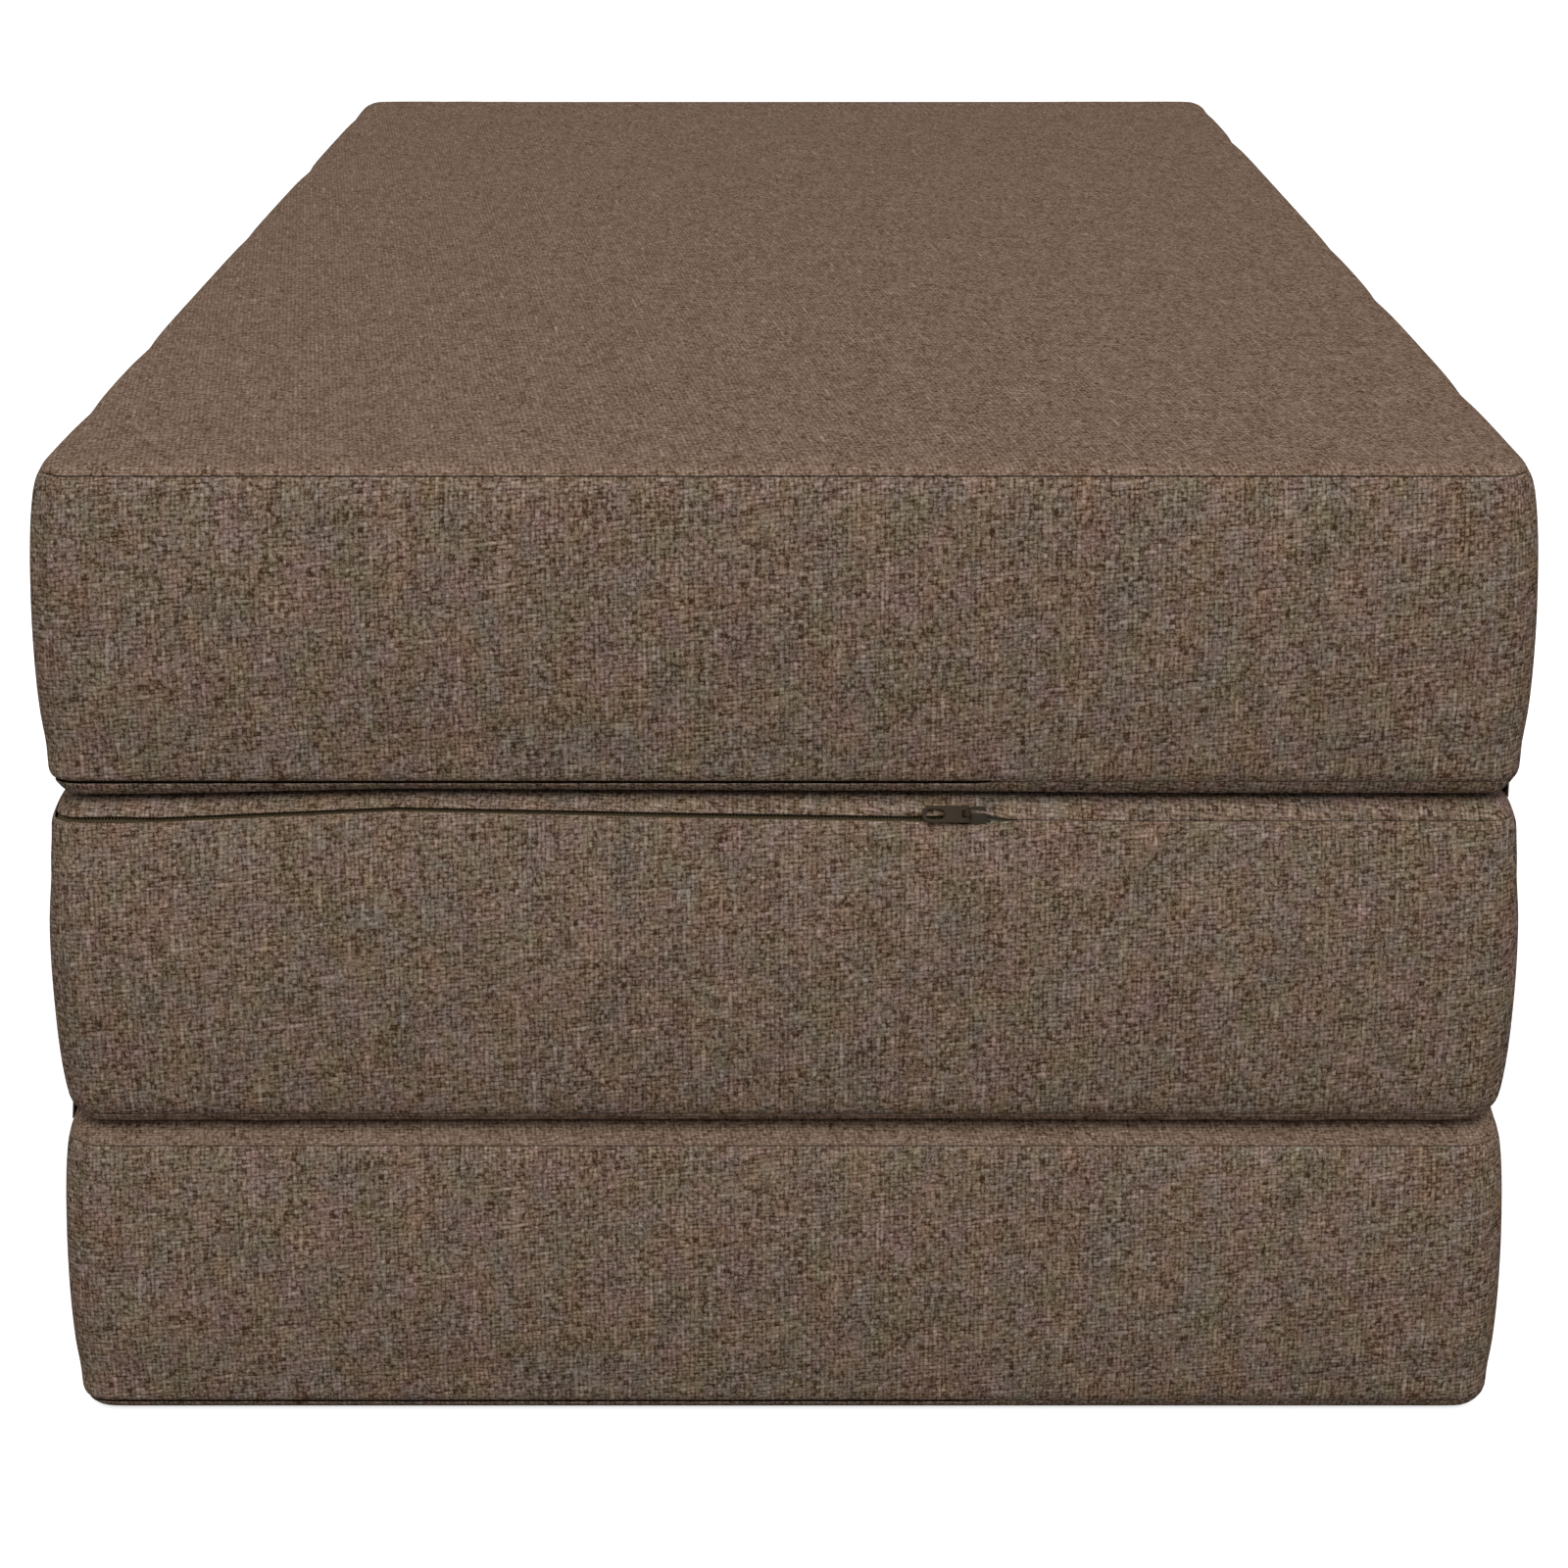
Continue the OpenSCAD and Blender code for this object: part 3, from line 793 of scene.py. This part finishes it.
def pour_foam(name):
    """The foam block inside, pressed round along its edges by the cover."""
    upright_r, edge_r, shrink = 26 * MM, 24 * MM, 2 * MM
    low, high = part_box(name + "_foam_core")
    bpy.ops.mesh.primitive_cube_add(size=1)
    foam = named(name + "_foam")
    set_points(foam, points(foam) * (np.array(high - low) - 2 * shrink) + np.array(low + high) / 2)
    editing(foam)
    choose(foam, "edges", lambda e: abs(e.verts[0].co.z - e.verts[1].co.z) > 1e-4)
    bpy.ops.mesh.bevel(offset=upright_r, segments=6, affect="EDGES")
    choose(foam, "edges", lambda e: abs(e.verts[0].co.z - e.verts[1].co.z) < 1e-5)
    bpy.ops.mesh.bevel(offset=edge_r, segments=6, affect="EDGES")
    bpy.ops.mesh.select_all(action="SELECT")
    bpy.ops.mesh.remove_doubles(threshold=0.01 * MM)
    done()
    face_outwards(foam)
    set_points(foam, settled(points(foam)))
    smooth(foam, 40)
    dress(foam, FOAM, "foam", name + "_foam_core")
    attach(foam, name + "_block")


for name in BLOCKS:
    pour_foam(name)
    sew_cover(name)
bpy.data.objects.remove(blank_cage, do_unlink=True)


# The fabric hinges: a strip sewn into one seam of each block, folded on the hinge line


def sew_hinge(name, side, height, section, nodes):
    """section is (out from the corner's centre, height above the hinge line), from seam to seam."""
    half = [(r * MM, z * MM) for r, z in section]
    bpy.ops.mesh.primitive_grid_add(x_subdivisions=len(half) - 1, y_subdivisions=60, size=1)
    strip = named(name)
    grid = points(strip)
    step = np.rint((grid[:, 0] + 0.5) * (len(half) - 1)).astype(int)
    out = np.array(half)[step]
    # The strip is cut back in a curve towards its two ends
    y = grid[:, 1] * 2 * STRIP_HALF
    cut = np.clip((STRIP_HALF - np.abs(y)) / STRIP_TAPER, 0, 1)
    cut = cut * (2 - cut)
    seam = np.interp(step, [0, len(half) - 1], [half[0][0], half[-1][0]])
    r = seam + (out[:, 0] - seam) * cut
    places = np.stack([side * (CENTRE_X + r), y, height + out[:, 1]], 1)
    set_points(strip, places)
    lengths = lengths_along(half)
    write_weave(strip, np.stack([y, lengths[step]], 1))
    face_outwards(strip)
    finish_with(strip, "SOLIDIFY", thickness=CLOTH, offset=0.0)
    smooth(strip)
    dress(strip, COVER, "cover_fabric", *nodes)
    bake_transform(strip)


sew_hinge(
    "left_hinge_strip", -1, BLOCK_H + HINGE_GAP / 2,
    [(14.7, -12.2), (17.4, -8.5), (19.2, -4.5), (20, -1.4), (20.3, 0), (19.8, 0.5), (18, 0.8),
     (15, 1.6), (12.3, 2.9)],
    ("left_hinge_lower_leaf", "left_hinge_middle_leaf"),
)
sew_hinge(
    "right_hinge_strip", 1, 2 * PITCH - HINGE_GAP / 2,
    [(12.4, -7.3), (14.6, -5.5), (17.8, -2.3), (19.8, -0.45), (20.3, 0), (19.8, 0.45), (17.8, 2.3),
     (14.6, 5.5), (12.4, 7.3)],
    ("right_hinge_middle_leaf", "right_hinge_upper_leaf"),
)

# The zips. Each is modelled flat, as (along, across, out), and then bent round the block

TOOTH_PITCH = 1.5 * MM
TOOTH_L, TOOTH_W, TOOTH_H, TOOTH_ROUND = 0.8 * MM, 3.1 * MM, 2.2 * MM, 0.22 * MM
CORD_T, CORD_AT = 0.5 * MM, 2.3 * MM
TAPE_W, TAPE_AT, TAPE_T, TAPE_SPARE = 6.4 * MM, 5.8 * MM, 0.5 * MM, 2 * MM
RUN_X, RUN_Y, BEND = CHAIN_END + CENTRE_X, 2 * CENTRE_Y, ZIP_R * math.pi / 2
ZIP_LENGTH = 2 * RUN_X + RUN_Y + 2 * BEND


def along_zip(s):
    """The path's inner line and outward direction: front, left corner, left side, corner, back."""
    legs = np.cumsum([RUN_X, BEND, RUN_Y, BEND])
    first, second = np.clip(s - legs[0], 0, BEND) / ZIP_R, np.clip(s - legs[2], 0, BEND) / ZIP_R
    x = np.where(s < legs[0], CHAIN_END - s, np.where(s > legs[3], s - legs[3] - CENTRE_X, -CENTRE_X))
    y = -CENTRE_Y + np.clip(s - legs[1], 0, RUN_Y)
    nx = np.where(s < legs[1], -np.sin(first), -np.cos(second))
    ny = np.where(s < legs[1], -np.cos(first), np.sin(second))
    return x, y, nx, ny


def bend_round(piece, section=zip_point):
    """Bends a flat piece round the block's zip path."""
    s, across, out = points(piece).T
    x, y, nx, ny = along_zip(s)
    r, z = section(across, out)
    set_points(piece, np.stack([x + nx * r, y + ny * r, z], 1))
    flip(piece)


def scaled(piece, *size):
    set_points(piece, points(piece) * np.array(size))
    return piece


def shifted(piece, *by):
    set_points(piece, points(piece) + np.array(by))
    return piece


def joined(pieces, name):
    alone(pieces[0])
    for piece in pieces:
        piece.select_set(True)
    bpy.ops.object.join()
    return named(name)


def one_tooth(name):
    """Half a turn of the coil: a rounded bar from its root across to its head."""
    bpy.ops.mesh.primitive_cube_add(size=1)
    tooth = scaled(named(name), TOOTH_L, TOOTH_W, TOOTH_H)
    editing(tooth)
    choose(tooth, "faces", lambda f: f.normal.y < -0.9)
    bpy.ops.transform.resize(value=(0.75, 1, 0.8))
    choose(tooth, "edges", lambda e: e.is_manifold and abs(e.verts[0].co.y - e.verts[1].co.y) > 2 * MM)
    bpy.ops.mesh.bevel(offset=TOOTH_ROUND, segments=1, affect="EDGES")
    done()
    return shifted(tooth, TOOTH_L / 2, 0.95 * MM, 0)


def coil(name):
    count = int(ZIP_LENGTH / TOOTH_PITCH)
    rows = []
    for side in (1, -1):
        row = one_tooth(name + "_row")
        finish_with(
            row, "ARRAY", count=count, use_relative_offset=False, use_constant_offset=True,
            constant_offset_displace=(TOOTH_PITCH, 0, 0),
        )
        if side < 0:
            scaled(row, 1, -1, 1)
            shifted(row, TOOTH_PITCH / 2, 0, 0)
            flip(row)
        rows.append(row)
        bpy.ops.mesh.primitive_grid_add(x_subdivisions=220, y_subdivisions=1, size=1)
        cord = scaled(named(name + "_cord"), ZIP_LENGTH, CORD_T, 0)
        shifted(cord, ZIP_LENGTH / 2, side * CORD_AT, CORD_T / 2)
        finish_with(cord, "SOLIDIFY", thickness=CORD_T, offset=-1.0)
        rows.append(cord)
    return joined(rows, name)


def tape_section(across, out):
    """The tape lies flat by the chain and turns in behind the wall, or behind the underside."""
    flat, radius, edge = 4.2 * MM, 6.15 * MM, math.radians(22)
    r, z = zip_point(np.clip(across, -flat, flat), out)
    up, down = np.clip(across - flat, 0, None), np.clip(-across - flat, 0, None)
    turn = down / radius
    low_r = 2 * MM + radius * np.cos(edge + turn)
    low_z = ZIP_H - radius * np.sin(edge + turn)
    r = np.where(down > 0, low_r, r + up * 0.31)
    return r, np.where(down > 0, low_z, z + up * 0.95)


def tape(name):
    strips = []
    for side in (1, -1):
        bpy.ops.mesh.primitive_grid_add(x_subdivisions=260, y_subdivisions=7, size=1)
        strip = scaled(named(name + "_strip"), ZIP_LENGTH + 2 * TAPE_SPARE, TAPE_W, 0)
        shifted(strip, ZIP_LENGTH / 2 - TAPE_SPARE, side * TAPE_AT, 0)
        strips.append(strip)
    whole = joined(strips, name)
    write_weave(whole, points(whole)[:, :2])
    return whole


def onto_zip(piece, name):
    """Puts a rigid piece, modelled flat at the slider, on the block's back run."""
    along, across, out = points(piece).T
    r, z = zip_point(across, out)
    places = np.stack([SLIDER_X - along, CENTRE_Y + r, z], 1)
    if BLOCKS[name]["turned"]:
        places[:, 1:] *= -1
    places[:, 2] += BLOCKS[name]["lift"]
    set_points(piece, places)


PLATE_L, PLATE_W, PLATE_FACE, PLATE_T = 12 * MM, 8 * MM, 1.5 * MM, 1.1 * MM
BAR_X, BAR_H, BAR_R = 2.5 * MM, 4.73 * MM, 0.95 * MM
CROWN_R, CROWN_T, CROWN_W = 1.88 * MM, 0.85 * MM, 2.4 * MM


def soften(piece, width, segments):
    """Rounds a metal piece's sharp edges."""
    finish_with(
        piece, "BEVEL", width=width, segments=segments, limit_method="ANGLE", angle_limit=SHARP,
    )


def slider_plate(name, side):
    """A plate with wide shoulders at its nose, a narrower tail and edges turned towards the tape."""
    bpy.ops.mesh.primitive_cube_add(size=1)
    plate = scaled(named(name), PLATE_L, PLATE_W, PLATE_T)
    editing(plate)
    choose(plate, "edges", lambda e: abs(e.verts[0].co.x - e.verts[1].co.x) > 5 * MM)
    bpy.ops.mesh.subdivide(number_cuts=3)
    choose(plate, "verts", lambda v: v.co.x > 2 * MM)
    bpy.ops.transform.resize(value=(1, 0.86, 1))
    choose(plate, "verts", lambda v: v.co.x > 5 * MM)
    bpy.ops.transform.resize(value=(1, 0.86, 1))
    choose(plate, "edges", lambda e: abs(e.verts[0].co.x) > 5.9 * MM
           and abs(e.verts[0].co.z - e.verts[1].co.z) > 0.5 * MM)
    bpy.ops.mesh.bevel(offset=1.5 * MM, segments=4, affect="EDGES")
    choose(plate, "faces", lambda f: f.normal.z < -0.9)
    bpy.ops.mesh.inset(thickness=0.6 * MM)
    choose(plate, "faces", lambda f: f.normal.z < -0.9 and max(abs(v.co.y) for v in f.verts) > 3 * MM
           and min(abs(v.co.y) for v in f.verts) > 2.2 * MM
           and abs(f.calc_center_median().x) < 4.6 * MM)
    bpy.ops.mesh.extrude_region_move(TRANSFORM_OT_translate={"value": (0, 0, -0.7 * MM)})
    done()
    soften(plate, 0.22 * MM, 2)
    shifted(plate, 0, 0, PLATE_FACE + PLATE_T / 2)
    if side < 0:
        scaled(plate, 1, 1, -1)
        flip(plate)
    return plate


def crown(name):
    """The half ring that holds the pull's bar, on two legs."""
    bpy.ops.mesh.primitive_cylinder_add(
        vertices=28, radius=CROWN_R, depth=CROWN_W, end_fill_type="NOTHING",
        rotation=(math.radians(90), 0, 0),
    )
    ring = named(name)
    bpy.ops.object.transform_apply(rotation=True)
    editing(ring)
    choose(ring, "faces", lambda f: f.calc_center_median().z < 0)
    bpy.ops.mesh.delete(type="FACE")
    choose(ring, "edges", lambda e: e.is_boundary and abs(e.verts[0].co.y - e.verts[1].co.y) > MM)
    leg = 2.6 * MM - BAR_H - 0.1 * MM
    bpy.ops.mesh.extrude_region_move(TRANSFORM_OT_translate={"value": (0, 0, leg)})
    done()
    face_outwards(ring)
    finish_with(ring, "SOLIDIFY", thickness=CROWN_T, offset=-1.0)
    soften(ring, 0.18 * MM, 2)
    return shifted(ring, BAR_X, 0, BAR_H)


def block_of(name, size, place, bevel):
    bpy.ops.mesh.primitive_cube_add(size=1)
    block = shifted(scaled(named(name), *size), *place)
    finish_with(block, "BEVEL", width=bevel, segments=2)
    return block


def slider(name):
    parts = [
        slider_plate(name + "_front", 1), slider_plate(name + "_back", -1), crown(name + "_crown"),
        block_of(name + "_diamond", (3 * MM, 2.2 * MM, 3.02 * MM), (-4.2 * MM, 0, 0), 0.3 * MM),
    ]
    return joined(parts, name)


def pull(name):
    """A bar under the crown, two arms beside it, and a tab with a round end and an oval hole."""
    length, width, thick = 20 * MM, 7.6 * MM, 1.2 * MM
    start, turn = 2.18 * MM, 64
    bpy.ops.mesh.primitive_circle_add(vertices=turn, radius=1)
    tab = named(name + "_tab")
    editing(tab)
    bpy.ops.mesh.primitive_circle_add(vertices=turn, radius=0.5)
    bpy.ops.mesh.select_all(action="SELECT")
    bpy.ops.mesh.bridge_edge_loops()
    done()
    flat = points(tab)
    angle = np.arctan2(flat[:, 1], flat[:, 0])
    outer = np.hypot(flat[:, 0], flat[:, 1]) > 0.75
    end = length - width / 2
    c, s = np.cos(angle), np.sin(angle)
    # The outer edge is a half round at the end and square towards the bar
    reach = np.minimum(1 / np.maximum(np.abs(c), 1e-6), 1 / np.maximum(np.abs(s), 1e-6))
    out_x = np.where(c >= 0, end + width / 2 * c, end - np.minimum(-c * reach, 1) * (end - start))
    out_y = np.where(c >= 0, width / 2 * s, np.clip(s * reach, -1, 1) * width / 2)
    hole = 2.1 * MM
    in_x = end + hole * c - (c < 0) * 2 * hole
    in_y = hole * s
    x, y = np.where(outer, out_x, in_x), np.where(outer, out_y, in_y)
    set_points(tab, np.stack([x, y, 0 * x], 1))
    editing(tab)
    bpy.ops.mesh.select_all(action="SELECT")
    bpy.ops.mesh.remove_doubles(threshold=0.001 * MM)
    done()
    face_outwards(tab)
    finish_with(tab, "SOLIDIFY", thickness=thick, offset=0.0)
    soften(tab, 0.28 * MM, 3)
    gap, arm_l = 0.3 * MM, start + 0.5 * MM
    arm_w = (width - CROWN_W) / 2 - gap
    arm_y = CROWN_W / 2 + gap + arm_w / 2
    arms = [
        block_of(name + "_arm", (arm_l, arm_w, thick), (arm_l / 2, side * arm_y, 0), 0.25 * MM)
        for side in (1, -1)
    ]
    bpy.ops.mesh.primitive_cylinder_add(
        vertices=20, radius=BAR_R, depth=width, rotation=(math.radians(90), 0, 0),
    )
    bar = named(name + "_bar")
    bpy.ops.object.transform_apply(rotation=True)
    soften(bar, 0.2 * MM, 2)
    return shifted(joined([tab, *arms, bar], name), BAR_X, 0, BAR_H)


blank_coil, blank_tape = coil("blank_coil"), tape("blank_tape")
for piece, section in ((blank_coil, zip_point), (blank_tape, tape_section)):
    bend_round(piece, section)
finish_with(blank_tape, "SOLIDIFY", thickness=TAPE_T, offset=0.0)

for name in BLOCKS:
    for blank, made, node, material in (
        (blank_coil, "_zip_coil", "zip_chain", TEETH), (blank_tape, "_zip_strips", "zip_tape", TAPE),
    ):
        piece = copy_of(blank, name + made)
        stand(piece, name)
        smooth(piece, 40)
        dress(piece, material, {"zip_chain": "zip_teeth"}.get(node, node), f"{name}_{node}")
        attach(piece, name + "_block")
    for make, node, material, body in (
        (slider, "zip_slider", DARK_METAL, "slider"), (pull, "zip_pull", METAL, "pull"),
    ):
        piece = make(f"{name}_{body}_metal")
        onto_zip(piece, name)
        smooth(piece, 35)
        dress(piece, material, "zip_metal", f"{name}_{node}")
        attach(piece, f"{name}_{body}")
    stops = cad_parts[name + "_zip_stops"]
    stops.data.materials.clear()
    stops.data.materials.append(DARK_METAL)
for blank in (blank_coil, blank_tape):
    bpy.data.objects.remove(blank, do_unlink=True)

# The studio: the floor and the sky are white where they are seen, and light the bed less than that

FLOOR_BOUNCE, FLOOR_SEEN, FLOOR_GLOW, SKY_FILL = 0.28, 0.82, 0.72, 0.5
LAMP_AT, LAMP_AIM, LAMP_SIZE, LAMP_POWER = (0.2, -5.6, 6.25), (0, -0.3, 0.25), 5.8, 474
CAMERA_AT, CAMERA_PITCH = (0, -1.9652, 0.7896), math.radians(13.97)
LENS, SENSOR_W, LENS_SHIFT = 75.99, 36, -0.2

bpy.ops.object.select_all(action="DESELECT")
bpy.ops.mesh.primitive_plane_add(size=40)
floor = named("studio_floor")
floor_finish = Finish("studio_floor")
seen = floor_finish.seen()
tone = floor_finish.mixed(seen, [FLOOR_BOUNCE] * 3, [FLOOR_SEEN] * 3)
matt = floor_finish.node("ShaderNodeBsdfDiffuse", {}, {"Color": tone})
glow = floor_finish.node(
    "ShaderNodeEmission", {}, {"Color": (1, 1, 1, 1), "Strength": seen * FLOOR_GLOW},
)
both = floor_finish.node("ShaderNodeAddShader", {}, {0: matt, 1: glow})
floor_finish.node("ShaderNodeOutputMaterial", {}, {"Surface": both})
floor.data.materials.append(floor_finish.made)

sky = Finish("studio", bpy.data.worlds)
bpy.context.scene.world = sky.made
strength = SKY_FILL + sky.seen() * (1 - SKY_FILL)
backing = sky.node("ShaderNodeBackground", {}, {"Color": (1, 1, 1, 1), "Strength": strength})
sky.node("ShaderNodeOutputWorld", {}, {"Surface": backing})

bpy.ops.object.light_add(type="AREA", location=LAMP_AT)
lamp = bpy.context.object
lamp.name = "soft_lamp"
lamp.data.size = LAMP_SIZE
lamp.data.energy = LAMP_POWER
lamp.rotation_euler = (Vector(LAMP_AIM) - lamp.location).to_track_quat("-Z", "Y").to_euler()

bpy.ops.object.camera_add(location=CAMERA_AT, rotation=(math.pi / 2 - CAMERA_PITCH, 0, 0))
camera = bpy.context.object
camera.data.lens = LENS
camera.data.sensor_width = SENSOR_W
camera.data.shift_y = LENS_SHIFT
bpy.context.scene.camera = camera
bpy.context.scene.view_settings.view_transform = "Standard"

bpy.context.view_layer.update()
